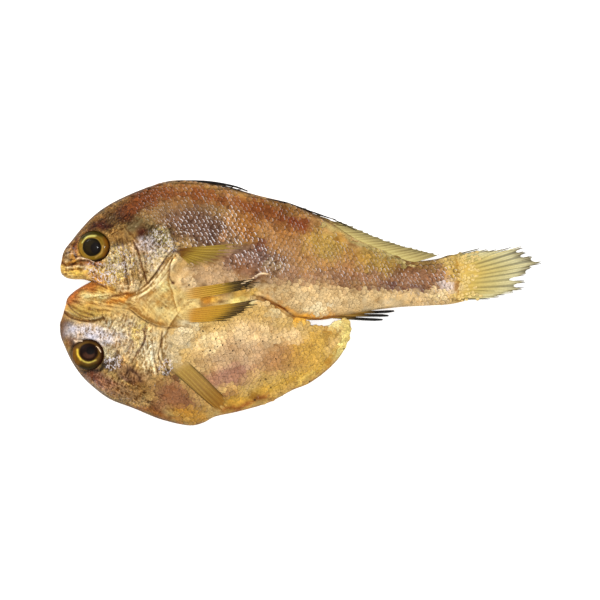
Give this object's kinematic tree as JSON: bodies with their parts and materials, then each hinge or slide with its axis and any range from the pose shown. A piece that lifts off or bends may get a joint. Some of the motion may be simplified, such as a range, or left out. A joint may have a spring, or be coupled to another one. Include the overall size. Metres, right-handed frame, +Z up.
{
  "type": "dried split fish",
  "caption": "Whole dried salted croaker, split down the back, opened flat and lying skin side up, with head, fins and tail.",
  "frame": {"origin": "middle of the fish's box, on the table that the cut face rests on", "axes": "+X from the snouts to the tail, +Y to the half that keeps the backbone and the tail, +Z up, out of the skin"},
  "size_m": [0.232, 0.1175, 0.0127],
  "materials": {
    "skin": "salted fish skin, satin, with small scales",
    "eye": "dried eye, glossy",
    "fin": "dry translucent fin with darker rays",
    "flesh": "dry cut flesh, satin",
    "bone": "dry fish bone, matt"
  },
  "bodies": {
    "root": {"croaker": "skin", "eye_upper": "eye", "eye_lower": "eye"}
  },
  "joints": []
}
